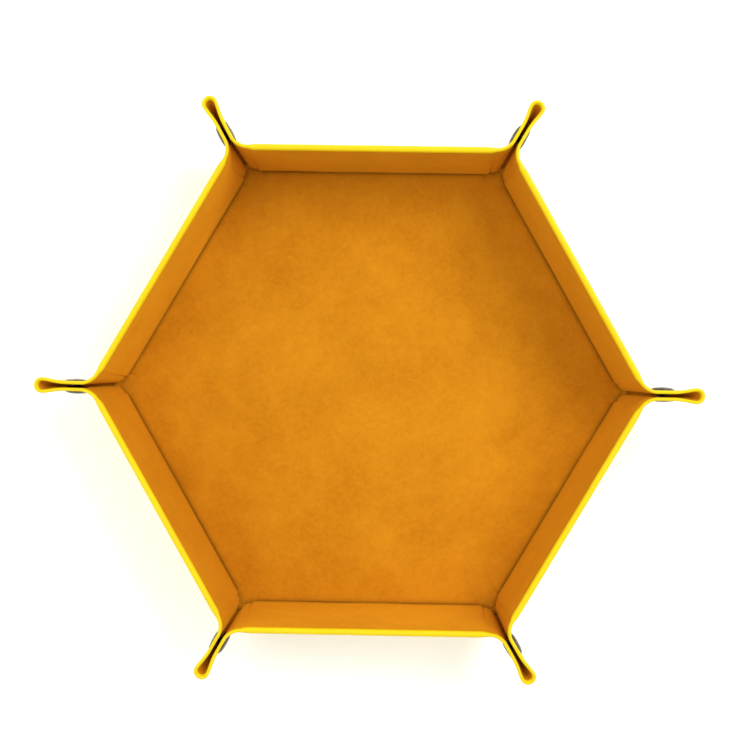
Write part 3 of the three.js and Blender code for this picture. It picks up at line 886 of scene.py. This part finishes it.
def arc(centre, radius, start, end, steps):
    angles = np.radians(np.linspace(start, end, steps))
    return [(centre[0] + radius * math.cos(a), centre[1] + radius * math.sin(a)) for a in angles]


def cap_profile():
    """A domed cap with a rolled edge, from its underside round to its crown."""
    underside = [(0, 0.0), (3.6, 0.0)]
    roll = arc((4.15, 0.26), 0.26, -90, 90, 9)
    dome = [(4.0 * math.sin(a), 0.46 + 0.78 * math.cos(a)) for a in np.linspace(1.45, 0, 14)]
    return underside + roll + dome


def flange_profile():
    """The stud's back: a flat disc with a rolled edge and the rivet's dimple in the middle."""
    underside = [(0, 0.0), (3.7, 0.0)]
    roll = arc((4.05, 0.22), 0.22, -90, 90, 8)
    plate = [(3.7, 0.44), (2.4, 0.56), (1.8, 0.72), (1.25, 0.74), (0.95, 0.56), (0, 0.48)]
    return underside + roll + plate


def socket_profile():
    """The cap's inner side: a ring with a well that the stud snaps into."""
    return [(0, -0.72), (3.6, -0.72), (3.9, -0.6), (4.0, -0.42), (3.85, -0.24), (2.4, -0.16),
            (2.05, 0.0), (1.7, -0.02), (1.6, -0.12), (1.6, -0.46), (0, -0.48)]


def stud_profile():
    """The stud's inner side: a knob, waisted below its head, on a disc."""
    return [(0, -0.72), (3.4, -0.72), (3.7, -0.6), (3.7, -0.42), (2.2, -0.3), (1.25, -0.16),
            (1.1, 0.02), (1.25, 0.2), (1.2, 0.34), (0.85, 0.42), (0, 0.44)]


def make_snap(k):
    t, u = flat(SNAP_UP, SNAP_IN)
    for side, body, outside, inside, names in (
        (1, f"ear_{k + 1}a", cap_profile(), socket_profile(), ("cap", "socket")),
        (-1, f"ear_{k + 1}b", flange_profile(), stud_profile(), ("flange", "stud")),
    ):
        corner = Corner(k, side)
        leather = corner.point(t, u, -LEATHER_FACE[1])
        velvet = corner.point(t, u, VELVET_FACE[1])
        axis = velvet - leather
        axis = axis / np.linalg.norm(axis)
        seat = leather + axis * SNAP_SINK
        outer = turned(f"snap_{k + 1}_{names[0]}_shell", outside, seat, -axis, body)
        gap = abs(float((velvet - corner.origin) @ corner.axes[1]))
        middle_plane = velvet + axis * gap
        turned(f"snap_{k + 1}_{names[1]}_ring", inside, middle_plane, axis, body)
        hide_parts(f"snap_{k + 1}_{'cap' if side > 0 else 'stud'}")


# ---- camera, light, floor ----------------------------------------------------------------------
def make_stage():
    ground = Nodes("pale_floor")
    tone = ground.noise(3, 2)
    ground.set(Base_Color=ground.mix(tone, srgb(244, 244, 244), srgb(248, 248, 248)), Roughness=0.9)
    # The floor glows a little, as a light table does, which washes out the soft shadows.
    ground.set(Emission_Color=(1.0, 1.0, 1.0, 1.0), Emission_Strength=FLOOR_GLOW)
    size = GROUND_SIZE
    mesh = bpy.data.meshes.new("ground")
    corners = [(-size, -size, 0), (size, -size, 0), (size, size, 0), (-size, size, 0)]
    mesh.from_pydata(corners, [], [(0, 1, 2, 3)])
    mesh.materials.append(ground.material)
    plane = bpy.data.objects.new("ground", mesh)
    bpy.context.scene.collection.objects.link(plane)

    world = bpy.data.worlds.new("studio")
    bpy.context.scene.world = world
    world.use_nodes = True
    background = world.node_tree.nodes["Background"]
    background.inputs["Color"].default_value = (1, 1, 1, 1)
    background.inputs["Strength"].default_value = WORLD_LIGHT
    # The default transform, AgX, has no yellow as bright and strong as the cover's.
    bpy.context.scene.view_settings.view_transform = "Standard"


def make_light(name, place, size, power):
    light = bpy.data.lights.new(name, "AREA")
    light.shape = "SQUARE"
    light.size = size
    light.energy = power
    lamp = bpy.data.objects.new(name, light)
    bpy.context.scene.collection.objects.link(lamp)
    lamp.location = place
    lamp.rotation_euler = (-Vector(place)).to_track_quat("-Z", "Y").to_euler()


def make_camera():
    """Nearly straight above, as the object is pictured: the camera is a little up and right of centre."""
    right = Vector((math.cos(CAMERA_ROLL), math.sin(CAMERA_ROLL), 0))
    up = Vector((-math.sin(CAMERA_ROLL), math.cos(CAMERA_ROLL), 0))
    place = right * CAMERA_PLACE[0] + up * CAMERA_PLACE[1] + Vector((0, 0, RIM_Z + CAMERA_ABOVE_RIM))
    target = right * CAMERA_AIM[0] + up * CAMERA_AIM[1] + Vector((0, 0, RIM_Z))
    camera = bpy.data.cameras.new("camera")
    camera.sensor_width = CAMERA_SENSOR
    camera.lens = CAMERA_LENS
    camera.clip_start, camera.clip_end = 0.01, 20
    eye = bpy.data.objects.new("camera", camera)
    bpy.context.scene.collection.objects.link(eye)
    back = (place - target).normalized()
    x_axis = up.cross(back).normalized()
    y_axis = back.cross(x_axis)
    eye.matrix_world = Matrix((x_axis, y_axis, back)).transposed().to_4x4()
    eye.location = place
    bpy.context.scene.camera = eye


# The boards have no skin of their own and are shown as they are in the CAD.
for node_name, node in frame["nodes"].items():
    if node_name.startswith("board"):
        node.data.materials.clear()
        node.data.materials.append(GREYBOARD)

make_floor()
for index in range(CORNERS):
    make_wall(index)
    make_ear(index, 1)
    make_ear(index, -1)
    make_snap(index)
make_stage()
for light in LIGHTS:
    make_light(*light)
make_camera()
